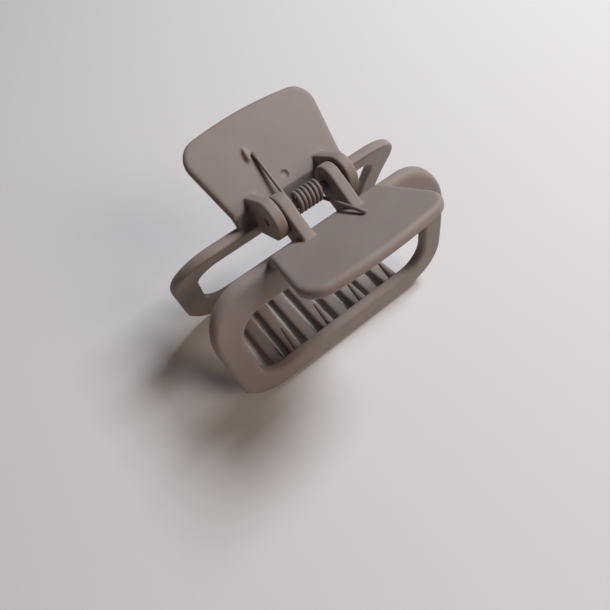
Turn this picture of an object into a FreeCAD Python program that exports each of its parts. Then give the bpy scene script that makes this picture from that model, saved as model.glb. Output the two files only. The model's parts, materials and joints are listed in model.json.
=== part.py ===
"""Spring hair claw clip: two moulded jaws, a steel hinge pin and a torsion spring.

Millimetres. X runs along the hinge, the rear jaw lies toward +Y and the front jaw toward -Y,
+Z is up. The origin is under the middle of the clip, on the surface that the teeth stand on.
The pieces that both jaws share are drawn for the rear jaw; the front jaw's are the same pieces
turned half a turn about Z, so that the teeth of one jaw pass between those of the other.
"""
import FreeCAD, Part
import math
import os

V = FreeCAD.Vector

# Frame of each jaw: an arched open rectangle
CLIP_LENGTH = 85.0          # along the hinge, before the ends are rounded off
FRAME_BOTTOM = 1.8          # height of the bottom rail's lower edge
FRAME_TOP = 48.3            # height of the top rail's upper edge
SPREAD_TOP = 8.5            # outer face from the middle plane, at the top
SPREAD_BOTTOM = 20.2        # outer face from the middle plane, at the bottom
FRAME_BOW = 2.0             # how far the face bulges beyond a straight line
FRAME_WALL = 3.6            # thickness of the rails
TOP_RAIL = 8.8              # height of the top rail
BOTTOM_RAIL = 8.8           # height of the bottom rail
END_RAIL = 8.2              # width of the two end rails
END_LEAN = 1.0              # how far each end leans in toward the bottom
FRAME_CORNER = 15.5         # outer radius of the upper corners
FOOT_CORNER = 13.5          # outer radius of the lower corners
WINDOW_CORNER = 8.0         # window corner radius
FRAME_ROUND = 1.2           # rounding of the frame's outer edges

# Grips: flared finger plates that lean outward
GRIP_ANGLE = 28.0           # above horizontal, degrees
GRIP_ROOT_OUT = 7.8         # where the flat inner face starts, from the middle plane
GRIP_ROOT_RISE = 3.9        # the same line, above the frame
GRIP_LENGTH = 22.2          # along the plate, to the free edge's ends
GRIP_CROWN = 2.0            # how far the middle of the free edge stands out
GRIP_ROOT_WIDTH = 36.8
GRIP_WIDTH = 43.8
GRIP_WALL = 3.3
GRIP_CORNER = 5.0
GRIP_ROUND = 1.1            # rounding of the plate's rim
NECK_TUCK = 1.6             # how far inside the frame's inner top edge the neck starts

# Hinge
HINGE_ABOVE_FRAME = 5.8
PIN_DIAMETER = 2.4
PIN_RECESS = 0.8            # pin's end below the ear's face
ARM_CLEARANCE = 0.05        # radial, between the pin and the front jaw's arms
EAR_INNER = 10.0            # inner face of an ear, from the middle
EAR_WALL = 3.1
EAR_RADIUS = 5.6
EAR_REACH = 3.3             # where the ear's upper edge meets the grip, along the plate
EAR_DROP = 4.6              # where its lower edge meets the rail, below the frame's top
EAR_ARM_GAP = 0.6           # side gap between an ear and an arm
ARM_WALL = 3.3
ARM_RADIUS = 4.9
ARM_REACH = 4.0
ARM_DROP = 1.5

# Torsion spring: both legs leave the underside of the coil
WIRE = 1.0
COIL_RADIUS = 2.6           # to the middle of the wire
COIL_TURNS = 6              # whole turns between the legs
COIL_PITCH = 1.25
COIL_START = -3.9           # where the rear leg joins the coil
REAR_LEG_REACH = 12.1       # leg tips, along the grips
FRONT_LEG_REACH = 9.0
FRONT_LEG_X = 6.1           # the front leg runs a little outward
LEG_LIFT = 0.05             # gap under the front leg's tip

# Teeth
TEETH = 4                   # on each jaw
TOOTH_PITCH = 14.3          # between the teeth of one jaw
TOOTH_WIDTH = 4.6
TOOTH_ROOT_WALL = 3.4       # thickness where the tooth leaves the rail
TOOTH_TIP_WALL = 1.9
TOOTH_TIP_GAP = 1.0         # tip to the other jaw's rail
TOOTH_SHIFT = -1.4          # both jaws' teeth, along the hinge
TOOTH_TIP_RISE = 3.0        # tip's middle above the surface
TOOTH_SAG = 1.3             # lowest run of the middle line, below the tip's middle
TOOTH_ROOT_DEPTH = 2.2      # how far the middle line runs into the rail
TOOTH_ROOT_RISE = 3.6       # its start, above the frame's lower edge
TOOTH_EXIT_OUT = 0.3        # where it leaves the rail
TOOTH_EXIT_RISE = 0.6
TOOTH_BEND = 4.4            # where it has turned level, from the rail
TOOTH_BEND_SHARE = 0.3      # height left there, as a share of the sag
TOOTH_LOW_SHARE = 0.35      # where it lies lowest, as a share of the way out to the rail
TOOTH_FAR_SHARE = 0.4       # where it starts to rise again, as a share of the way to the tip
TOOTH_TIP_ROUND = 1.4       # tip's corners, seen from above
TOOTH_ROUND = 0.8
PEG_LENGTH = 9.8            # the short inner teeth
PEG_ROOT_RADIUS = 1.8
PEG_TIP_RADIUS = 0.6
PEG_RISE = 5.4              # above the frame's lower edge
PEG_TILT = 5.0              # upward, degrees

# Stop on the rear grip, beside the spring's leg
STOP_LENGTH = 4.2
STOP_WIDTH = 1.6
STOP_HEIGHT = 1.2
STOP_ROUND = 0.5
STOP_GAP = 0.45             # between the wire and the stop
STOP_AHEAD = 0.4            # how far the stop reaches past the leg's tip

NEAR = 0.01                 # tolerance when edges are picked
EMBED = 1.2                 # how far a piece runs into its neighbour before it is trimmed to it
HINGE_Z = FRAME_TOP + HINGE_ABOVE_FRAME
GRIP_ROOT_Z = FRAME_TOP + GRIP_ROOT_RISE
SLOPE = math.radians(GRIP_ANGLE)


def at(y, z, x=0.0):
    return V(x, y, z)


def prism(points, x0, x1):
    """Solid with a closed outline of (y, z) points, from x0 to x1."""
    wire = Part.makePolygon([at(y, z, x0) for y, z in points + points[:1]])
    return Part.Face(wire).extrude(V(x1 - x0, 0, 0))


def bar(radius, x0, x1, y, z):
    return Part.makeCylinder(radius, x1 - x0, at(y, z, x0), V(1, 0, 0))


def trimmed(shape, *neighbours):
    """The largest solid left when the neighbours are cut from the shape."""
    for other in neighbours:
        shape = shape.cut(other)
    return max(shape.Solids, key=lambda solid: solid.Volume)


def half_turn(shape):
    turned = shape.copy()
    turned.rotate(V(0, 0, 0), V(0, 0, 1), 180)
    return turned


# ---- frame ----

def arch():
    """Centre (y, z) and radius of the frame's outer face."""
    rise = FRAME_TOP - FRAME_BOTTOM
    run = SPREAD_BOTTOM - SPREAD_TOP
    chord = math.hypot(rise, run)
    radius = (chord ** 2 / 4 + FRAME_BOW ** 2) / (2 * FRAME_BOW)
    back = radius - FRAME_BOW
    y = (SPREAD_TOP + SPREAD_BOTTOM) / 2 - back * rise / chord
    z = (FRAME_TOP + FRAME_BOTTOM) / 2 - back * run / chord
    return y, z, radius


def spread(z, inset=0.0):
    """Distance of the frame's outer face, moved in by inset, from the middle plane."""
    centre_y, centre_z, radius = arch()
    return centre_y + math.sqrt((radius - inset) ** 2 - (z - centre_z) ** 2)


def rounded_window(inset_x, z0, z1, top_radius, foot_radius):
    """Rounded outline seen along Y with leaning ends, deep enough to pass through the frame."""
    depth = SPREAD_BOTTOM + FRAME_WALL + FRAME_BOW
    half = CLIP_LENGTH / 2 - inset_x
    lean = END_LEAN / (FRAME_TOP - FRAME_BOTTOM)
    low = half - lean * (FRAME_TOP - z0)
    high = half - lean * (FRAME_TOP - z1)
    corners = [V(-low, 0, z0), V(low, 0, z0), V(high, 0, z1), V(-high, 0, z1)]
    plate = Part.Face(Part.makePolygon(corners + corners[:1])).extrude(V(0, depth, 0))
    upright = [e for e in plate.Edges if abs(e.tangentAt(e.FirstParameter).y) > 0.9]
    plate = plate.makeFillet(top_radius, [e for e in upright if e.CenterOfMass.z > (z0 + z1) / 2])
    upright = [e for e in plate.Edges if e.BoundBox.YLength > depth / 2 and e.BoundBox.ZMax < z0 + NEAR
               and abs(e.CenterOfMass.x) > low - NEAR]
    return plate.makeFillet(foot_radius, upright)


def on_arch(edge, radius):
    """True for an edge that lies on the frame's outer face."""
    centre_y, centre_z, _ = arch()
    ends = [edge.valueAt(t) for t in (edge.FirstParameter, edge.LastParameter)]
    return all(abs(math.hypot(p.y - centre_y, p.z - centre_z) - radius) < NEAR for p in ends)


def frame():
    centre_y, centre_z, radius = arch()
    half = CLIP_LENGTH / 2
    band = bar(radius, -half, half, centre_y, centre_z)
    band = band.cut(bar(radius - FRAME_WALL, -half, half, centre_y, centre_z))
    plate = band.common(rounded_window(0, FRAME_BOTTOM, FRAME_TOP, FRAME_CORNER, FOOT_CORNER))
    ring = plate.cut(rounded_window(END_RAIL, FRAME_BOTTOM + BOTTOM_RAIL, FRAME_TOP - TOP_RAIL,
                                    WINDOW_CORNER, WINDOW_CORNER))
    ring = max(ring.Solids, key=lambda solid: solid.Volume)
    rims = [e for e in ring.Edges if on_arch(e, radius)]
    return ring.makeFillet(FRAME_ROUND, rims)


# ---- grip ----

def on_grip(along, above=0.0, x=0.0):
    """Point on the grip's inner face, along the plate from its root line."""
    y = GRIP_ROOT_OUT + along * math.cos(SLOPE) - above * math.sin(SLOPE)
    z = GRIP_ROOT_Z + along * math.sin(SLOPE) + above * math.cos(SLOPE)
    return at(y, z, x)


def grip():
    root = GRIP_ROOT_WIDTH / 2
    free = GRIP_WIDTH / 2
    a = on_grip(0, 0, -root)
    b = on_grip(0, 0, root)
    c = on_grip(GRIP_LENGTH, 0, free)
    d = on_grip(GRIP_LENGTH, 0, -free)
    crown = on_grip(GRIP_LENGTH + GRIP_CROWN, 0)
    edges = [Part.makeLine(a, b), Part.makeLine(b, c), Part.Arc(c, crown, d).toShape(), Part.makeLine(d, a)]
    depth = on_grip(0, -GRIP_WALL) - on_grip(0, 0)
    plate = Part.Face(Part.Wire(edges)).extrude(depth)
    upright = [e for e in plate.Edges if abs(e.tangentAt(e.FirstParameter).dot(depth)) > 0.99 * depth.Length
               and e.CenterOfMass.y > GRIP_ROOT_OUT + GRIP_LENGTH / 2]
    plate = plate.makeFillet(GRIP_CORNER, upright)
    middle = on_grip(GRIP_LENGTH / 2, -GRIP_WALL / 2)
    rim = []
    for e in plate.Edges:
        off = abs((e.CenterOfMass - middle).dot(depth)) / depth.Length
        at_root = e.BoundBox.YMax < GRIP_ROOT_OUT + GRIP_WALL
        if off > 0.49 * GRIP_WALL and not at_root:
            rim.append(e)
    return plate.makeFillet(GRIP_ROUND, rim)


def neck(rail, plate):
    half = GRIP_ROOT_WIDTH / 2
    low = FRAME_TOP - EMBED
    inner = spread(FRAME_TOP, FRAME_WALL) + NECK_TUCK
    under = on_grip(0, -GRIP_WALL)
    over = on_grip(0)
    deep = on_grip(EMBED, -GRIP_WALL / 2)
    outer = SPREAD_TOP - FRAME_ROUND / 2
    points = [(inner, low), (inner, FRAME_TOP), (over.y, over.z), (deep.y, deep.z), (under.y, under.z),
              (outer, FRAME_TOP), (outer, low)]
    return trimmed(prism(points, -half, half), rail, plate)


# ---- hinge ----

def touch_point(y, z, radius, upper):
    """Point (y, z) where a line from outside touches the circle about the hinge."""
    rise = z - HINGE_Z
    turn = math.acos(radius / math.hypot(y, rise))
    angle = math.atan2(rise, y) + (turn if upper else -turn)
    return radius * math.cos(angle), HINGE_Z + radius * math.sin(angle)


def lug(inner_x, wall, radius, reach, drop):
    """Round-ended bracket about the hinge, spread out on the grip, neck and top rail."""
    top = on_grip(reach)
    top_in = on_grip(reach, -EMBED)
    bend = on_grip(0, -EMBED)
    low_z = FRAME_TOP - drop
    low_y = spread(low_z, FRAME_WALL)
    points = [touch_point(top.y, top.z, radius, True), (top.y, top.z), (top_in.y, top_in.z),
              (bend.y, bend.z), (spread(FRAME_TOP, FRAME_WALL) + EMBED + NECK_TUCK, FRAME_TOP),
              (low_y + EMBED, low_z), (low_y, low_z), touch_point(low_y, low_z, radius, False)]
    body = prism(points, inner_x, inner_x + wall)
    return body.fuse(bar(radius, inner_x, inner_x + wall, 0, HINGE_Z)).removeSplitter()


def ear(side, rail, root, plate):
    inner_x = EAR_INNER if side > 0 else -EAR_INNER - EAR_WALL
    blank = lug(inner_x, EAR_WALL, EAR_RADIUS, EAR_REACH, EAR_DROP)
    hole = bar(PIN_DIAMETER / 2, inner_x, inner_x + EAR_WALL, 0, HINGE_Z)
    return trimmed(blank, rail, root, plate, hole)


def arm(side, rail, root, plate):
    """Drawn on the rear jaw's side, like every piece that is then turned to the front."""
    outer = EAR_INNER - EAR_ARM_GAP
    inner_x = outer - ARM_WALL if side > 0 else -outer
    blank = lug(inner_x, ARM_WALL, ARM_RADIUS, ARM_REACH, ARM_DROP)
    hole = bar(PIN_DIAMETER / 2 + ARM_CLEARANCE, inner_x, inner_x + ARM_WALL, 0, HINGE_Z)
    return trimmed(blank, rail, root, plate, hole)


def pin():
    half = EAR_INNER + EAR_WALL - PIN_RECESS
    return bar(PIN_DIAMETER / 2, -half, half, 0, HINGE_Z)


# ---- spring ----

def leg_angle(tip, front):
    """Angle about the hinge, from +Y toward +Z, where the leg leaves the coil's underside."""
    turn = math.acos(COIL_RADIUS / math.hypot(tip.y, tip.z - HINGE_Z))
    angle = math.atan2(tip.z - HINGE_Z, tip.y)
    return angle + turn if front else angle - turn


def spring():
    """One wire: rear leg, left-handed coil about the pin, front leg."""
    rear_tip = on_grip(REAR_LEG_REACH, WIRE / 2, COIL_START)
    mirrored = on_grip(FRONT_LEG_REACH, WIRE / 2 + LEG_LIFT)
    front_tip = at(-mirrored.y, mirrored.z, FRONT_LEG_X)
    start = leg_angle(rear_tip, False) + 2 * math.pi
    end = leg_angle(front_tip, True)
    length = COIL_PITCH * (COIL_TURNS + (start - end) / (2 * math.pi))
    coil = Part.makeHelix(COIL_PITCH, length, COIL_RADIUS, 0, True)
    coil.rotate(V(0, 0, 0), V(1, 1, 1), 120)
    coil.rotate(V(0, 0, 0), V(1, 0, 0), math.degrees(start))
    coil.translate(at(0, HINGE_Z, COIL_START))
    first, last = coil.Vertexes[0].Point, coil.Vertexes[-1].Point
    path = [Part.makeLine(rear_tip, first)] + coil.Edges + [Part.makeLine(last, front_tip)]
    section = Part.Wire(Part.makeCircle(WIRE / 2, rear_tip, first - rear_tip))
    return Part.Wire(Part.__sortEdges__(path)).makePipeShell([section], True, True)


def spring_stop(plate):
    x = COIL_START - WIRE / 2 - STOP_GAP - STOP_WIDTH / 2
    base = Part.makeBox(STOP_WIDTH, STOP_LENGTH, STOP_HEIGHT + EMBED, V(-STOP_WIDTH / 2, 0, -EMBED))
    upright = [e for e in base.Edges if abs(e.tangentAt(e.FirstParameter).z) > 0.9]
    base = base.makeFillet(STOP_WIDTH / 2 - NEAR, upright)
    top = [e for e in base.Edges if e.BoundBox.ZMin > STOP_HEIGHT - NEAR]
    base = base.makeFillet(STOP_ROUND, top)
    base.rotate(V(0, 0, 0), V(1, 0, 0), GRIP_ANGLE)
    base.translate(on_grip(REAR_LEG_REACH + STOP_AHEAD - STOP_LENGTH / 2, 0, x))
    return trimmed(base, plate)


# ---- teeth ----

def tooth_x(index, shift):
    """Middle of a tooth; those of the jaw turned about Z fall halfway between the others."""
    return (index - (TEETH - 1) / 2) * TOOTH_PITCH - TOOTH_PITCH / 4 + shift


def tooth_line():
    """Middle of a tooth seen from the end, as (y, z) from the rail to the tip."""
    rail = spread(FRAME_BOTTOM, FRAME_WALL)
    tip = -(rail - TOOTH_TIP_GAP)
    low = TOOTH_TIP_RISE - TOOTH_SAG
    bend = low + TOOTH_BEND_SHARE * TOOTH_SAG
    return [(rail + TOOTH_ROOT_DEPTH, FRAME_BOTTOM + TOOTH_ROOT_RISE),
            (rail - TOOTH_EXIT_OUT, FRAME_BOTTOM + TOOTH_EXIT_RISE), (rail - TOOTH_BEND, bend),
            (rail * TOOTH_LOW_SHARE, low), (tip * TOOTH_FAR_SHARE, bend), (tip, TOOTH_TIP_RISE)]


def smooth(points):
    curve = Part.BSplineCurve()
    curve.interpolate([at(y, z) for y, z in points])
    return curve.toShape()


def tooth(x, rail):
    middle = tooth_line()
    upper = []
    lower = []
    for i, (y, z) in enumerate(middle):
        before = middle[max(i - 1, 0)]
        after = middle[min(i + 1, len(middle) - 1)]
        length = math.hypot(after[0] - before[0], after[1] - before[1])
        across = ((after[1] - before[1]) / length, -(after[0] - before[0]) / length)
        share = i / (len(middle) - 1)
        half = (TOOTH_ROOT_WALL + (TOOTH_TIP_WALL - TOOTH_ROOT_WALL) * share) / 2
        upper.append((y + across[0] * half, z + across[1] * half))
        lower.append((y - across[0] * half, z - across[1] * half))
    edges = [smooth(upper), Part.makeLine(at(*upper[-1]), at(*lower[-1])), smooth(lower),
             Part.makeLine(at(*lower[0]), at(*upper[0]))]
    blank = Part.Face(Part.Wire(Part.__sortEdges__(edges))).extrude(V(TOOTH_WIDTH, 0, 0))
    tip_y = middle[-1][0]
    corners = [e for e in blank.Edges if e.BoundBox.YMax < tip_y + TOOTH_TIP_WALL / 2
               and e.BoundBox.XLength < NEAR]
    blank = blank.makeFillet(TOOTH_TIP_ROUND, corners)
    sides = [e for e in blank.Edges if e.BoundBox.YLength > 2 * abs(tip_y)]
    blank = blank.makeFillet(TOOTH_ROUND, sides)
    blank.translate(V(x - TOOTH_WIDTH / 2, 0, -blank.optimalBoundingBox().ZMin))
    return trimmed(blank, rail)


def pegs(places, rail, teeth):
    """The short cones above the roots of one jaw's teeth."""
    tilt = math.radians(PEG_TILT)
    rise = FRAME_BOTTOM + PEG_RISE
    direction = V(0, -math.cos(tilt), math.sin(tilt))
    group = []
    for x, solid in zip(places, teeth):
        base = at(spread(rise, FRAME_WALL) + EMBED / 2, rise, x)
        cone = Part.makeCone(PEG_ROOT_RADIUS, PEG_TIP_RADIUS, PEG_LENGTH, base, direction)
        cone = cone.fuse(Part.makeSphere(PEG_TIP_RADIUS, base + direction * PEG_LENGTH))
        group.append(trimmed(cone.removeSplitter(), rail, solid))
    return Part.makeCompound(group)


def comb(rail, shift):
    """All the teeth of one jaw, by name."""
    places = [tooth_x(index, shift) for index in range(TEETH)]
    teeth = [tooth(x, rail) for x in places]
    named = {"inner_teeth": pegs(places, rail, teeth)}
    for index, solid in enumerate(teeth):
        named["tooth_" + str(index + 1)] = solid
    return named


# ---- assembly ----

def build():
    rail = frame()
    plate = grip()
    root = neck(rail, plate)
    shared = {"frame": rail, "neck": root, "grip": plate}
    parts = {}
    for name, shape in {**shared, **comb(rail, TOOTH_SHIFT)}.items():
        parts["rear_" + name] = shape
    for name, shape in {**shared, **comb(rail, -TOOTH_SHIFT)}.items():
        parts["front_" + name] = half_turn(shape)
    for side, word in ((-1, "left"), (1, "right")):
        parts["rear_ear_" + word] = ear(side, rail, root, plate)
        parts["front_arm_" + word] = half_turn(arm(-side, rail, root, plate))
    parts["spring_stop"] = spring_stop(plate)
    parts["hinge_pin"] = pin()
    parts["torsion_spring"] = spring()
    return parts


if __name__ == "__main__":
    os.makedirs("parts", exist_ok=True)
    for name, shape in build().items():
        shape.exportStep("parts/" + name + ".step")
        print(name, shape.isValid(), len(shape.Solids), round(shape.Volume, 1))
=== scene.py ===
import json
import math

import bmesh
import bpy
from mathutils import Matrix, Vector


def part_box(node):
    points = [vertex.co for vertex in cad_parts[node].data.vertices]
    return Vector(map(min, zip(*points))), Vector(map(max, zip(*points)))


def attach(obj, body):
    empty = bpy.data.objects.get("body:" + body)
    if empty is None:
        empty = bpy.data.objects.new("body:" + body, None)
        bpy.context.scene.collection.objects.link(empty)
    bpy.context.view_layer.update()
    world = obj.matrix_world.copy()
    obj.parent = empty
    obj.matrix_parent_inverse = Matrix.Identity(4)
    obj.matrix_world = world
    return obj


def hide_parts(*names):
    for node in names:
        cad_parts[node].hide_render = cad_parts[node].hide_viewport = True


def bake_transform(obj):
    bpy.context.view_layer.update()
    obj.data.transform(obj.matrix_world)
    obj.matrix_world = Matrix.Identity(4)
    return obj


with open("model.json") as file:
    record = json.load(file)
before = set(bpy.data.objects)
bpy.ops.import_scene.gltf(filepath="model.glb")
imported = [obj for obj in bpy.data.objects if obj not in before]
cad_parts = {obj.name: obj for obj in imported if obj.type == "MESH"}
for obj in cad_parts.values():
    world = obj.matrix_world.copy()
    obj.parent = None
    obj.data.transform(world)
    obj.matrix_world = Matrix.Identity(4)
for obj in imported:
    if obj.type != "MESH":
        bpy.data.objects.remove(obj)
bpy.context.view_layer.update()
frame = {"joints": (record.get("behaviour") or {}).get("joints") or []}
print("frame loaded")

# every length below is in millimetres until a piece is finished
mm = 0.001


def boxMm(node):
    low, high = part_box(node)
    return Vector(low) / mm, Vector(high) / mm


def drawnBox(node):
    # a front piece's box, turned back to the side where every piece is drawn
    low, high = boxMm(node)
    if node.startswith("front"):
        low, high = Vector((-high.x, -high.y, low.z)), Vector((-low.x, -low.y, high.z))
    return low, high


hingeZ = frame["joints"][0]["pos_m"][2] / mm

# camera, light and floor

camera = {"azimuth": -31.29, "elevation": 62.48, "roll": -7.78, "distance": 136.31,
          "aimHeight": 24.4, "right": 2.45, "up": 14.81, "lens": 24.95, "sensor": 36.0}


def lookAxes(azimuth, elevation, roll):
    a, e, r = (math.radians(v) for v in (azimuth, elevation, roll))
    forward = Vector((-math.sin(a) * math.cos(e), math.cos(a) * math.cos(e), -math.sin(e)))
    level = Vector((math.cos(a), math.sin(a), 0))
    above = level.cross(forward)
    right = level * math.cos(r) + above * math.sin(r)
    up = above * math.cos(r) - level * math.sin(r)
    return forward, right, up


def addCamera(c):
    forward, right, up = lookAxes(c["azimuth"], c["elevation"], c["roll"])
    place = Vector((0, 0, c["aimHeight"])) - forward * c["distance"] - right * c["right"] - up * c["up"]
    data = bpy.data.cameras.new("camera")
    data.lens = c["lens"]
    data.sensor_width = c["sensor"]
    data.clip_start = 0.005
    holder = bpy.data.objects.new("camera", data)
    turn = Matrix((right, up, -forward)).transposed().to_4x4()
    holder.matrix_world = Matrix.Translation(place * mm) @ turn
    bpy.context.scene.collection.objects.link(holder)
    bpy.context.scene.camera = holder


addCamera(camera)

lights = {
    "key": {"place": (600, 90, 800), "size": 330, "power": 10.0, "colour": "#f6f8ff"},
    "front": {"place": (380, -600, 560), "size": 330, "power": 2.7, "colour": "#ffe6d2"},
    "low": {"place": (-520, -90, 250), "size": 240, "power": 0.14, "colour": "#e0702c"},
    "skyStrength": 0.05, "skyColour": "#f3f4f6",
}


def linear(code):
    # sRGB hex to the linear values that shaders and lights take
    parts = [int(code[i:i + 2], 16) / 255 for i in (1, 3, 5)]
    return tuple(v / 12.92 if v <= 0.04045 else ((v + 0.055) / 1.055) ** 2.4 for v in parts)


def addLight(name, light, aim=(0, 0, 25)):
    data = bpy.data.lights.new(name, "AREA")
    data.size = light["size"] * mm
    data.energy = light["power"]
    data.color = linear(light["colour"])
    holder = bpy.data.objects.new(name, data)
    place = Vector(light["place"])
    holder.matrix_world = (Matrix.Translation(place * mm)
                           @ (Vector(aim) - place).to_track_quat("-Z", "Y").to_matrix().to_4x4())
    bpy.context.scene.collection.objects.link(holder)


for lightName in ("key", "front", "low"):
    addLight(lightName, lights[lightName])
world = bpy.data.worlds.new("studio")
world.use_nodes = True
world.node_tree.nodes["Background"].inputs["Color"].default_value = (*linear(lights["skyColour"]), 1)
world.node_tree.nodes["Background"].inputs["Strength"].default_value = lights["skyStrength"]
bpy.context.scene.world = world
bpy.context.scene.view_settings.view_transform = "Standard"
print("camera and lights set")

# materials


def addNode(material, kind, settings=None, links=None):
    # settings: socket or property name to value; links: socket name to (node, output name)
    node = material.node_tree.nodes.new(kind)
    for name, value in (settings or {}).items():
        if name in node.inputs:
            node.inputs[name].default_value = value
        else:
            setattr(node, name, value)
    for name, (source, output) in (links or {}).items():
        material.node_tree.links.new(source.outputs[output], node.inputs[name])
    return node


def addRamp(material, source, output, stops):
    ramp = addNode(material, "ShaderNodeValToRGB", links={"Fac": (source, output)})
    elements = ramp.color_ramp.elements
    while len(elements) < len(stops):
        elements.new(0.5)
    for element, (position, code) in zip(elements, stops):
        element.position = position
        element.color = (*linear(code), 1)
    return ramp


softTouch = {"tones": ((0.30, "#857a73"), (0.55, "#8a7f78"), (0.75, "#8f847d")), "toneSpan": 14.0,
             "grain": 0.22, "grainDepth": 0.012, "grainStrength": 0.35, "roughness": 0.62,
             "uneven": (-0.05, 0.06), "specular": 0.42, "sheen": 0.12, "sheenRoughness": 0.45,
             "subsurface": 0.3, "depth": (1.0, 0.34, 0.16), "depthScale": 1.4}


def softTouchPaint(name, look):
    # rubberised matte paint over moulded ABS: an even, powdery grey-brown with no hard glint,
    # a wide soft sheen on the roundings and a fine sprayed grain that only shows close up
    material = bpy.data.materials.new(name)
    material.use_nodes = True
    shader = material.node_tree.nodes["Principled BSDF"]
    place = addNode(material, "ShaderNodeTexCoord")
    drift = addNode(material, "ShaderNodeTexNoise", {"Scale": 1 / (look["toneSpan"] * mm), "Detail": 3.0},
                    {"Vector": (place, "Object")})
    tone = addRamp(material, drift, "Fac", look["tones"])
    grain = addNode(material, "ShaderNodeTexNoise", {"Scale": 1 / (look["grain"] * mm), "Detail": 2.0},
                    {"Vector": (place, "Object")})
    bump = addNode(material, "ShaderNodeBump", {"Strength": look["grainStrength"],
                   "Distance": look["grainDepth"] * mm}, {"Height": (grain, "Fac")})
    dull = addNode(material, "ShaderNodeMapRange", {"To Min": look["roughness"] + look["uneven"][0],
                   "To Max": look["roughness"] + look["uneven"][1]}, {"Value": (drift, "Fac")})
    link = material.node_tree.links.new
    link(tone.outputs["Color"], shader.inputs["Base Color"])
    link(bump.outputs["Normal"], shader.inputs["Normal"])
    link(dull.outputs["Result"], shader.inputs["Roughness"])
    shader.inputs["Specular IOR Level"].default_value = look["specular"]
    shader.inputs["Sheen Weight"].default_value = look["sheen"]
    shader.inputs["Sheen Roughness"].default_value = look["sheenRoughness"]
    shader.inputs["Subsurface Weight"].default_value = look["subsurface"]
    shader.inputs["Subsurface Radius"].default_value = look["depth"]
    shader.inputs["Subsurface Scale"].default_value = look["depthScale"] * mm
    return material


jawPaint = softTouchPaint("softTouchPaintOnAbs", softTouch)
# the same paint over drawn spring wire: a shade darker and a little slicker on the thin coils
wirePaint = softTouchPaint("paintedSpringSteel", {**softTouch, "subsurface": 0.0, "roughness": 0.5,
                           "tones": ((0.3, "#766c67"), (0.55, "#7c726d"), (0.75, "#837872"))})
# the same paint on the pin's cut ends, darker still: painted shade for the pocket they sit in, a dull dot
# there
pinPaintWithPaintedShade = softTouchPaint("paintedPinSteelWithPaintedShade", {**softTouch, "subsurface": 0.0, "roughness": 0.55,
                          "tones": ((0.3, "#6e645f"), (0.55, "#756a65"), (0.75, "#7b716b"))})
# plain matte sheet under the clip: pale and even, without a glint
floorLook = {"colour": "#d3d2d1", "roughness": 0.85, "half": 1500, "drop": 0.2}
floorPaint = bpy.data.materials.new("matteFloor")
floorPaint.use_nodes = True
floorShader = floorPaint.node_tree.nodes["Principled BSDF"]
floorShader.inputs["Base Color"].default_value = (*linear(floorLook["colour"]), 1)
floorShader.inputs["Roughness"].default_value = floorLook["roughness"]
print("materials made")

# bmesh helpers


def newMesh():
    return bmesh.new()


def allOf(bm):
    return bm.verts[:] + bm.edges[:] + bm.faces[:]


def move(bm, matrix):
    bmesh.ops.transform(bm, matrix=matrix, verts=bm.verts[:])


def sharpEdges(bm, angle=50):
    return [e for e in bm.edges if len(e.link_faces) == 2 and e.calc_face_angle() > math.radians(angle)]


def roundEdges(bm, edges, offset, segments=4):
    bmesh.ops.bevel(bm, geom=edges, offset=offset, offset_type="OFFSET", segments=segments, profile=0.5,
                    affect="EDGES", material=-1, clamp_overlap=True)


def slab(bm, faces, depth):
    # a flat sheet in the XY plane becomes a closed plate reaching down by depth
    grown = bmesh.ops.extrude_face_region(bm, geom=faces, use_keep_orig=True)
    down = [g for g in grown["geom"] if isinstance(g, bmesh.types.BMVert)]
    bmesh.ops.translate(bm, verts=down, vec=(0, 0, -depth))
    bmesh.ops.recalc_face_normals(bm, faces=bm.faces[:])


def sliceAlong(bm, axis, start, end, count):
    # extra cross cuts, so that a long straight run can bend
    normal = Vector((0, 0, 0))
    normal[axis] = 1
    for i in range(1, count):
        bmesh.ops.bisect_plane(bm, geom=allOf(bm), dist=1e-5, plane_no=normal,
                               plane_co=normal * (start + (end - start) * i / count))


def into(target, bm):
    # adds a finished solid to the jaw that is being put together
    part = bpy.data.meshes.new("part")
    bm.to_mesh(part)
    bm.free()
    target.from_mesh(part)
    bpy.data.meshes.remove(part)


# frame

frameSize = {"half": 42.5, "spreadTop": 8.5, "spreadBottom": 20.2, "bow": 2.0, "wall": 3.6, "topRail": 8.8,
             "bottomRail": 8.8, "endRail": 8.2, "endLean": 1.0, "corner": 15.5, "footCorner": 13.5,
             "windowCorner": 8.0, "outerRound": 1.35, "innerRound": 1.0, "rows": 26}
frameLow, frameHigh = boxMm("rear_frame")


def spread(z, depth=0.0):
    # distance of the arched face, moved inward by depth, from the middle plane
    f = frameSize
    rise = frameHigh.z - frameLow.z
    run = f["spreadBottom"] - f["spreadTop"]
    chord = math.hypot(rise, run)
    radius = (chord ** 2 / 4 + f["bow"] ** 2) / (2 * f["bow"])
    back = radius - f["bow"]
    centreY = (f["spreadBottom"] + f["spreadTop"]) / 2 - back * rise / chord
    centreZ = (frameHigh.z + frameLow.z) / 2 - back * run / chord
    return centreY + math.sqrt((radius - depth) ** 2 - (z - centreZ) ** 2)


def roundedOutline(bm, inset, z0, z1, topRadius, footRadius, segments=12):
    # flat outline with ends that lean in toward the bottom, its four corners rounded
    f = frameSize
    lean = f["endLean"] / (frameHigh.z - frameLow.z)
    made = bmesh.ops.create_grid(bm, x_segments=1, y_segments=1, size=0.5)["verts"]
    for v in made:
        y = z1 if v.co.y > 0 else z0
        v.co = Vector((math.copysign(f["half"] - inset - lean * (frameHigh.z - y), v.co.x), y, 0))
    middle = (z0 + z1) / 2
    for verts, radius in (([v for v in made if v.co.y > middle], topRadius),
                          ([v for v in made if v.co.y < middle], footRadius)):
        bmesh.ops.bevel(bm, geom=verts, offset=radius, offset_type="OFFSET", segments=segments,
                        profile=0.5, affect="VERTICES", material=-1)


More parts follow.
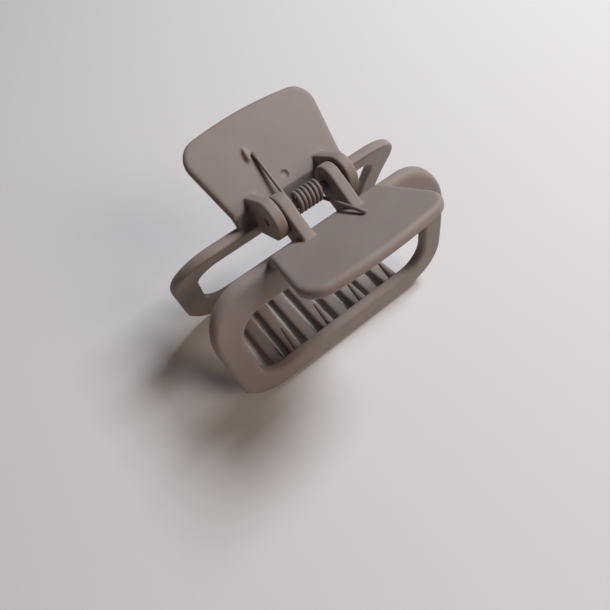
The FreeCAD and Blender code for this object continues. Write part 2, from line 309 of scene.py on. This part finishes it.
def buildFrame():
    # flat ring, rounded along its rims, then bent onto the arch
    f = frameSize
    bm = newMesh()
    roundedOutline(bm, 0, frameLow.z, frameHigh.z, f["corner"], f["footCorner"])
    roundedOutline(bm, f["endRail"], frameLow.z + f["bottomRail"], frameHigh.z - f["topRail"],
                   f["windowCorner"], f["windowCorner"])
    bmesh.ops.delete(bm, geom=bm.faces[:], context="FACES_ONLY")
    bmesh.ops.bridge_loops(bm, edges=bm.edges[:])
    slab(bm, bm.faces[:], f["wall"])
    rims = sharpEdges(bm, 60)
    front = [e for e in rims if max(v.co.z for v in e.verts) > -0.1]
    back = [e for e in rims if max(v.co.z for v in e.verts) < 0.1 - f["wall"]]
    roundEdges(bm, front, f["outerRound"], 5)
    roundEdges(bm, [e for e in back if e.is_valid], f["innerRound"], 4)
    sliceAlong(bm, 1, frameLow.z, frameHigh.z, f["rows"])
    for v in bm.verts:
        v.co = Vector((v.co.x, spread(v.co.y, -v.co.z), v.co.y))
    bmesh.ops.recalc_face_normals(bm, faces=bm.faces[:])
    return bm


# grip and neck

gripSize = {"angle": 28.0, "rootOut": 7.8, "rootRise": 3.9, "length": 22.2, "crown": 2.0, "rootWidth": 36.8,
            "width": 43.8, "wall": 3.3, "corner": 6.2, "round": 1.35, "columns": 24}
neckSize = {"tuck": 1.6, "sink": 1.4, "deep": 1.6, "underIn": 1.2, "underLift": 0.2, "outerInset": 0.5,
            "edge": 0.3}


def onGrip(along, above=0.0, x=0.0):
    g = gripSize
    slope = math.radians(g["angle"])
    return Vector((x, g["rootOut"] + along * math.cos(slope) - above * math.sin(slope),
                   frameHigh.z + g["rootRise"] + along * math.sin(slope) + above * math.cos(slope)))


def gripTurn():
    return Matrix.Rotation(math.radians(gripSize["angle"]), 4, "X")


def gripMatrix():
    return Matrix.Translation(onGrip(0)) @ gripTurn()


def buildGrip():
    g = gripSize
    bm = newMesh()
    corners = bmesh.ops.create_grid(bm, x_segments=1, y_segments=1, size=0.5)["verts"]
    for v in corners:
        free = v.co.y > 0
        half = (g["width"] if free else g["rootWidth"]) / 2
        v.co = Vector((math.copysign(half, v.co.x), g["length"] if free else 0, 0))
    bmesh.ops.bevel(bm, geom=[v for v in corners if v.co.y > 1], offset=g["corner"], offset_type="OFFSET",
                    segments=12, profile=0.5, affect="VERTICES", material=-1)
    slab(bm, bm.faces[:], g["wall"])
    rims = [e for e in sharpEdges(bm, 60) if abs(e.verts[0].co.z - e.verts[1].co.z) < 0.1
            and max(v.co.y for v in e.verts) > 0.1]
    roundEdges(bm, rims, g["round"], 6)
    sliceAlong(bm, 0, -g["width"] / 2, g["width"] / 2, g["columns"])
    for v in bm.verts:
        share = max(v.co.y, 0) / g["length"]
        v.co.y += g["crown"] * (1 - (2 * v.co.x / g["width"]) ** 2) * share ** 2
    move(bm, gripMatrix())
    bmesh.ops.recalc_face_normals(bm, faces=bm.faces[:])
    return bm


def prism(points, x0, x1, rounding=0.0):
    # closed outline of (y, z) points, from x0 to x1
    bm = newMesh()
    outline = [bm.verts.new((x0, y, z)) for y, z in points]
    face = bm.faces.new(outline)
    grown = bmesh.ops.extrude_face_region(bm, geom=[face], use_keep_orig=True)
    bmesh.ops.translate(bm, verts=[g for g in grown["geom"] if isinstance(g, bmesh.types.BMVert)],
                        vec=(x1 - x0, 0, 0))
    bmesh.ops.recalc_face_normals(bm, faces=bm.faces[:])
    if rounding:
        roundEdges(bm, sharpEdges(bm, 20), rounding, 3)
    return bm


def buildNeck():
    g, n = gripSize, neckSize
    half = g["rootWidth"] / 2
    low = frameHigh.z - n["sink"]
    inner = spread(frameHigh.z, frameSize["wall"]) + n["tuck"]
    outer = frameSize["spreadTop"] - n["outerInset"]
    over, deep = onGrip(0), onGrip(n["deep"], -g["wall"] / 2)
    under = onGrip(n["underIn"], -g["wall"] + n["underLift"])
    points = [(inner, low), (inner, frameHigh.z), (over.y, over.z), (deep.y, deep.z), (under.y, under.z),
              (outer, frameHigh.z), (outer, low)]
    return prism(points, -half, half, n["edge"])


# hinge brackets

hingeSize = {"pinRadius": 1.2, "pinEdge": 0.2, "pocketGap": 0.06, "pocketDepth": 2.0, "sink": 1.4,
             "rootOut": 0.6, "rootDrop": 0.4, "edge": 0.35}
bracketSize = {"rear_ear_": {"reach": 3.3, "drop": 4.6}, "front_arm_": {"reach": 4.0, "drop": 1.5}}


def touchPoint(y, z, radius, upper):
    # where a line from outside touches the circle about the hinge
    rise = z - hingeZ
    turn = math.acos(radius / math.hypot(y, rise))
    angle = math.atan2(rise, y) + (turn if upper else -turn)
    return radius * math.cos(angle), hingeZ + radius * math.sin(angle)


def buildDisc(radius, x0, x1, rounding):
    bm = newMesh()
    bmesh.ops.create_cone(bm, cap_ends=True, segments=72, radius1=radius, radius2=radius, depth=x1 - x0)
    roundEdges(bm, sharpEdges(bm, 60), rounding, 3)
    move(bm, Matrix.Translation(((x0 + x1) / 2, 0, hingeZ)) @ Matrix.Rotation(math.pi / 2, 4, "Y"))
    return bm


def addBracket(jaw, node, reach, drop):
    # round-ended lug about the pin, spread out on grip, neck and rail
    h = hingeSize
    low, high = drawnBox(node)
    radius = high.z - hingeZ
    top, topIn, bend = onGrip(reach), onGrip(reach, -h["sink"]), onGrip(0, -h["sink"])
    lowZ = frameHigh.z - drop
    lowY = spread(lowZ, frameSize["wall"])
    points = [touchPoint(top.y, top.z, radius, True), (top.y, top.z), (topIn.y, topIn.z), (bend.y, bend.z),
              (lowY + h["sink"] + h["rootOut"], frameHigh.z - h["rootDrop"]), (lowY + h["sink"], lowZ),
              (lowY, lowZ), touchPoint(lowY, lowZ, radius, False), (0, hingeZ)]
    into(jaw, prism(points, low.x, high.x, h["edge"]))
    into(jaw, buildDisc(radius, low.x, high.x, h["edge"]))


# teeth

# rootAt, leaveAt and bendAt are (outward from the rail's inner foot, up)
toothSize = {"rootWall": 3.4, "tipWall": 1.9, "tipRise": 3.0, "sag": 1.3, "rootAt": (0.8, 2.8),
             "leaveAt": (-0.5, 0.7), "bendAt": (-4.4, 0.4), "lowShare": 0.35, "farShare": 0.4,
             "farRise": 0.45, "blankLength": 32.0, "blankWall": 2.6, "tipCorner": 1.3, "round": 1.05,
             "steps": 28}
pegSize = {"root": 1.8, "tip": 0.6, "length": 10.4, "rise": 5.4, "tilt": 5.0, "sink": 0.6}


def toothPath(tipY):
    # middle line of a tooth as (y, z), from the rail to the tip
    t = toothSize
    rail = spread(frameLow.z, frameSize["wall"])
    base = t["tipRise"] - t["sag"]
    points = [(rail + t["rootAt"][0], frameLow.z + t["rootAt"][1]),
              (rail + t["leaveAt"][0], frameLow.z + t["leaveAt"][1]),
              (rail + t["bendAt"][0], base + t["bendAt"][1]), (rail * t["lowShare"], base),
              (tipY * t["farShare"], base + t["farRise"]), (tipY, t["tipRise"])]
    return [Vector((0, y, z)) for y, z in points]


def alongPath(points, share):
    # smooth curve through the points, share from 0 to 1
    last = len(points) - 1
    i = min(int(share * last), last - 1)
    u = share * last - i
    a, b = points[i], points[i + 1]
    before = points[i - 1] if i > 0 else a * 2 - b
    after = points[i + 2] if i + 2 <= last else b * 2 - a
    return 0.5 * (2 * a + (b - before) * u + (2 * before - 5 * a + 4 * b - after) * u ** 2
                  + (3 * a - before - 3 * b + after) * u ** 3)


def buildTooth(node):
    # straight bar with a rounded tip, thinned and bent along the path
    t = toothSize
    low, high = drawnBox(node)
    path = toothPath(low.y)
    length = t["blankLength"]
    bm = newMesh()
    bmesh.ops.create_cube(bm, size=1)
    bmesh.ops.scale(bm, verts=bm.verts[:], vec=(high.x - low.x, 1, 1))
    tipCorners = [e for e in bm.edges if min(v.co.y for v in e.verts) > 0.4
                  and abs(e.verts[0].co.z - e.verts[1].co.z) > 0.5]
    bmesh.ops.scale(bm, verts=bm.verts[:], vec=(1, length, 1))
    bmesh.ops.bevel(bm, geom=tipCorners, offset=t["tipCorner"], offset_type="OFFSET", segments=5, profile=0.5,
                    affect="EDGES", material=-1)
    bmesh.ops.scale(bm, verts=bm.verts[:], vec=(1, 1, t["blankWall"]))
    roundEdges(bm, [e for e in sharpEdges(bm, 60) if abs(e.verts[0].co.z - e.verts[1].co.z) < 0.1],
               t["round"], 5)
    sliceAlong(bm, 1, -length / 2, length / 2, t["steps"])
    middle = Vector(((low.x + high.x) / 2, 0, 0))
    for v in bm.verts:
        share = min(max(v.co.y / length + 0.5, 0), 1)
        wall = t["rootWall"] + (t["tipWall"] - t["rootWall"]) * share
        here = alongPath(path, share)
        ahead = alongPath(path, min(share + 0.01, 1)) - alongPath(path, max(share - 0.01, 0))
        across = Vector((0, ahead.z, -ahead.y)).normalized()
        v.co = middle + Vector((v.co.x, 0, 0)) + here + across * (v.co.z / t["blankWall"] * wall)
    bmesh.ops.recalc_face_normals(bm, faces=bm.faces[:])
    lowest = min(v.co.z for v in bm.verts)
    bmesh.ops.translate(bm, verts=bm.verts[:], vec=(0, 0, -lowest))
    return bm


def buildPeg(x):
    # short cone with a round tip, out of the bottom rail's inner face
    g = pegSize
    rise = frameLow.z + g["rise"]
    bm = newMesh()
    bmesh.ops.create_cone(bm, cap_ends=True, segments=32, radius1=g["root"], radius2=g["tip"],
                          depth=g["length"])
    bmesh.ops.create_uvsphere(bm, u_segments=24, v_segments=12, radius=g["tip"],
                              matrix=Matrix.Translation((0, 0, g["length"] / 2)))
    out = Matrix.Rotation(math.radians(90 - g["tilt"]), 4, "X")
    start = Vector((x, spread(rise, frameSize["wall"]) + g["sink"], rise))
    reach = out.to_3x3() @ Vector((0, 0, g["length"] / 2))
    move(bm, Matrix.Translation(start + reach) @ out)
    return bm


# small moulding marks

markSize = {"nub": (0.8, 2.1, 1.15), "nubAlong": 12.5, "nubTurn": -6, "gate": (0.55, 0.825, 0.825),
            "gateRise": 9.0, "gateIn": 1.15, "ejector": 1.3, "ejectorAlong": 3.0, "ejectorX": 0.3,
            "ejectorDepth": 0.01}


def buildNub():
    # low seed-shaped stop that keeps the spring's leg from creeping sideways
    low, high = boxMm("spring_stop")
    width, length, height = markSize["nub"]
    bm = newMesh()
    bmesh.ops.create_uvsphere(bm, u_segments=32, v_segments=20, radius=1)
    bmesh.ops.scale(bm, verts=bm.verts[:], vec=(width, length, height))
    turn = gripTurn() @ Matrix.Rotation(math.radians(markSize["nubTurn"]), 4, "Z")
    move(bm, Matrix.Translation(onGrip(markSize["nubAlong"], 0, (low.x + high.x) / 2)) @ turn)
    return bm


def buildGateMark(side):
    # trimmed sprue stub on the lower outer corner
    z = frameLow.z + markSize["gateRise"]
    x = side * (frameHigh.x - markSize["gateIn"])
    bm = newMesh()
    bmesh.ops.create_uvsphere(bm, u_segments=20, v_segments=12, radius=1)
    bmesh.ops.scale(bm, verts=bm.verts[:], vec=markSize["gate"])
    move(bm, Matrix.Translation((x, spread(z, frameSize["wall"] / 2), z)))
    return bm


# jaws

castSize = {"voxel": 0.36, "smooth": 2, "smoothFactor": 0.5}
shared = ["frame", "neck", "grip", "inner_teeth", "tooth_1", "tooth_2", "tooth_3", "tooth_4"]


def addCutter(*discs):
    # round pockets as (radius, depth, matrix of the pocket's floor)
    bm = newMesh()
    for radius, depth, place in discs:
        bmesh.ops.create_cone(bm, cap_ends=True, segments=48, radius1=radius, radius2=radius, depth=depth,
                              matrix=place @ Matrix.Translation((0, 0, depth / 2)))
    bmesh.ops.scale(bm, verts=bm.verts[:], vec=(mm, mm, mm))
    mesh = bpy.data.meshes.new("cutter")
    bm.to_mesh(mesh)
    bm.free()
    cutter = bpy.data.objects.new("cutter", mesh)
    bpy.context.scene.collection.objects.link(cutter)
    return cutter


def pocketDiscs():
    # the pin's ends lie a little below the ears' faces; the ejector left a shallow disc on the grip
    m = markSize
    low, high = boxMm("hinge_pin")
    radius = hingeSize["pinRadius"] + hingeSize["pocketGap"]
    depth = hingeSize["pocketDepth"]
    discs = [(radius, depth, Matrix.Translation((x, 0, hingeZ)) @ Matrix.Rotation(turn, 4, "Y"))
             for x, turn in ((high.x, math.pi / 2), (low.x, -math.pi / 2))]
    mark = Matrix.Translation(onGrip(m["ejectorAlong"], -m["ejectorDepth"], m["ejectorX"])) @ gripTurn()
    return discs + [(m["ejector"], depth, mark)]


def castInOne(jaw, name, front, cutter):
    # the solids melt into one skin, with the small fillets that a moulding has where they meet
    if front:
        bmesh.ops.rotate(jaw, verts=jaw.verts[:], cent=(0, 0, 0), matrix=Matrix.Rotation(math.pi, 3, "Z"))
    bmesh.ops.scale(jaw, verts=jaw.verts[:], vec=(mm, mm, mm))
    rough = bpy.data.meshes.new(name)
    jaw.to_mesh(rough)
    jaw.free()
    holder = bpy.data.objects.new(name, rough)
    bpy.context.scene.collection.objects.link(holder)
    remesh = holder.modifiers.new("cast", "REMESH")
    remesh.mode = "VOXEL"
    remesh.voxel_size = castSize["voxel"] * mm
    remesh.use_smooth_shade = True
    soften = holder.modifiers.new("soften", "SMOOTH")
    soften.factor = castSize["smoothFactor"]
    soften.iterations = castSize["smooth"]
    if cutter:
        pockets = holder.modifiers.new("pockets", "BOOLEAN")
        pockets.operation = "DIFFERENCE"
        pockets.object = cutter
    bpy.context.view_layer.update()
    done = bpy.data.meshes.new_from_object(holder.evaluated_get(bpy.context.evaluated_depsgraph_get()))
    holder.modifiers.clear()
    if cutter:
        bpy.data.objects.remove(cutter)
    holder.data = done
    done.name = name
    done.materials.clear()
    done.materials.append(jawPaint)
    for polygon in done.polygons:
        polygon.use_smooth = True
    print(name, "cast:", len(done.polygons), "faces")
    return holder


def buildJaw(side):
    front = side == "front"
    jaw = newMesh()
    into(jaw, buildFrame())
    into(jaw, buildGrip())
    into(jaw, buildNeck())
    for index in (1, 2, 3, 4):
        node = side + "_tooth_" + str(index)
        low, high = drawnBox(node)
        into(jaw, buildTooth(node))
        into(jaw, buildPeg((low.x + high.x) / 2))
    bracket = "front_arm_" if front else "rear_ear_"
    for word in ("left", "right"):
        addBracket(jaw, bracket + word, **bracketSize[bracket])
    into(jaw, buildGateMark(1 if front else -1))
    if not front:
        into(jaw, buildNub())
    piece = castInOne(jaw, side + "JawMoulding", front, None if front else addCutter(*pocketDiscs()))
    nodes = [side + "_" + name for name in shared] + [bracket + "left", bracket + "right"]
    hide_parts(*(nodes if front else nodes + ["spring_stop"]))
    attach(piece, side + "_jaw")


for jawSide in ("rear", "front"):
    buildJaw(jawSide)
print("jaws cast")


def finish(bm, name, material):
    bmesh.ops.remove_doubles(bm, verts=bm.verts[:], dist=1e-4)
    bmesh.ops.recalc_face_normals(bm, faces=bm.faces[:])
    bmesh.ops.scale(bm, verts=bm.verts[:], vec=(mm, mm, mm))
    mesh = bpy.data.meshes.new(name)
    bm.to_mesh(mesh)
    bm.free()
    for polygon in mesh.polygons:
        polygon.use_smooth = True
    mesh.materials.append(material)
    piece = bpy.data.objects.new(name, mesh)
    bpy.context.scene.collection.objects.link(piece)
    return piece


# pin

def buildPin():
    low, high = boxMm("hinge_pin")
    bm = newMesh()
    bmesh.ops.create_cone(bm, cap_ends=True, segments=40, radius1=hingeSize["pinRadius"],
                          radius2=hingeSize["pinRadius"], depth=high.x - low.x)
    roundEdges(bm, sharpEdges(bm, 60), hingeSize["pinEdge"], 3)
    move(bm, Matrix.Translation((0, 0, hingeZ)) @ Matrix.Rotation(math.pi / 2, 4, "Y"))
    # the pin's paint is darkened as painted shade for the pocket its ends sit in
    pin = finish(bm, "hingePin", pinPaintWithPaintedShade)
    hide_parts("hinge_pin")
    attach(pin, "rear_jaw")


buildPin()

# spring

springSize = {"wire": 1.0, "radius": 2.6, "turns": 6, "pitch": 1.25, "start": -3.9, "rearReach": 12.1,
              "frontReach": 9.0, "frontX": 6.1, "lift": 0.05, "ring": 20, "steps": 40, "legSteps": 6}


def legAngle(tip, front):
    turn = math.acos(springSize["radius"] / math.hypot(tip.y, tip.z - hingeZ))
    angle = math.atan2(tip.z - hingeZ, tip.y)
    return angle + turn if front else angle - turn


def buildSpring():
    # one wire: rear leg, left-handed coil about the pin, front leg
    s = springSize
    rearTip = onGrip(s["rearReach"], s["wire"] / 2, s["start"])
    frontTip = onGrip(s["frontReach"], s["wire"] / 2 + s["lift"])
    frontTip = Vector((s["frontX"], -frontTip.y, frontTip.z))
    first = legAngle(rearTip, False) + 2 * math.pi
    last = legAngle(frontTip, True)
    sweep = first - last + 2 * math.pi * s["turns"]
    run = s["pitch"] * sweep / (2 * math.pi)

    def coilPoint(angle, x):
        return Vector((x, s["radius"] * math.cos(angle), hingeZ + s["radius"] * math.sin(angle)))

    bm = newMesh()
    bmesh.ops.create_circle(bm, cap_ends=False, segments=s["ring"], radius=s["wire"] / 2)
    start = coilPoint(first, s["start"])
    facing = (start - rearTip).to_track_quat("Z", "X").to_matrix().to_4x4()
    move(bm, Matrix.Translation(rearTip) @ facing)
    ring = bm.edges[:]

    def pull(edges, vector):
        grown = bmesh.ops.extrude_edge_only(bm, edges=edges)["geom"]
        verts = [g for g in grown if isinstance(g, bmesh.types.BMVert)]
        bmesh.ops.translate(bm, verts=verts, vec=vector)
        return [g for g in grown if isinstance(g, bmesh.types.BMEdge)]

    firstRing = ring
    for _ in range(s["legSteps"]):
        ring = pull(ring, (start - rearTip) / s["legSteps"])
    steps = round(s["steps"] * sweep / (2 * math.pi))
    turn = Matrix.Rotation(-sweep / steps, 3, "X")
    for _ in range(steps):
        grown = bmesh.ops.extrude_edge_only(bm, edges=ring)["geom"]
        verts = [g for g in grown if isinstance(g, bmesh.types.BMVert)]
        bmesh.ops.rotate(bm, verts=verts, cent=(0, 0, hingeZ), matrix=turn)
        bmesh.ops.translate(bm, verts=verts, vec=(run / steps, 0, 0))
        ring = [g for g in grown if isinstance(g, bmesh.types.BMEdge)]
    leave = coilPoint(first - sweep, s["start"] + run)
    for _ in range(s["legSteps"]):
        ring = pull(ring, (frontTip - leave) / s["legSteps"])
    bmesh.ops.contextual_create(bm, geom=firstRing)
    bmesh.ops.contextual_create(bm, geom=ring)
    spring = finish(bm, "torsionSpring", wirePaint)
    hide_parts("torsion_spring")
    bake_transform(spring)


buildSpring()
print("pin and spring made")

# floor

floorMesh = newMesh()
bmesh.ops.create_grid(floorMesh, x_segments=1, y_segments=1, size=floorLook["half"] * mm)
floorData = bpy.data.meshes.new("floor")
floorMesh.to_mesh(floorData)
floorMesh.free()
floorData.materials.append(floorPaint)
floor = bpy.data.objects.new("floor", floorData)
floor.location = (0, 0, -floorLook["drop"] * mm)
bpy.context.scene.collection.objects.link(floor)
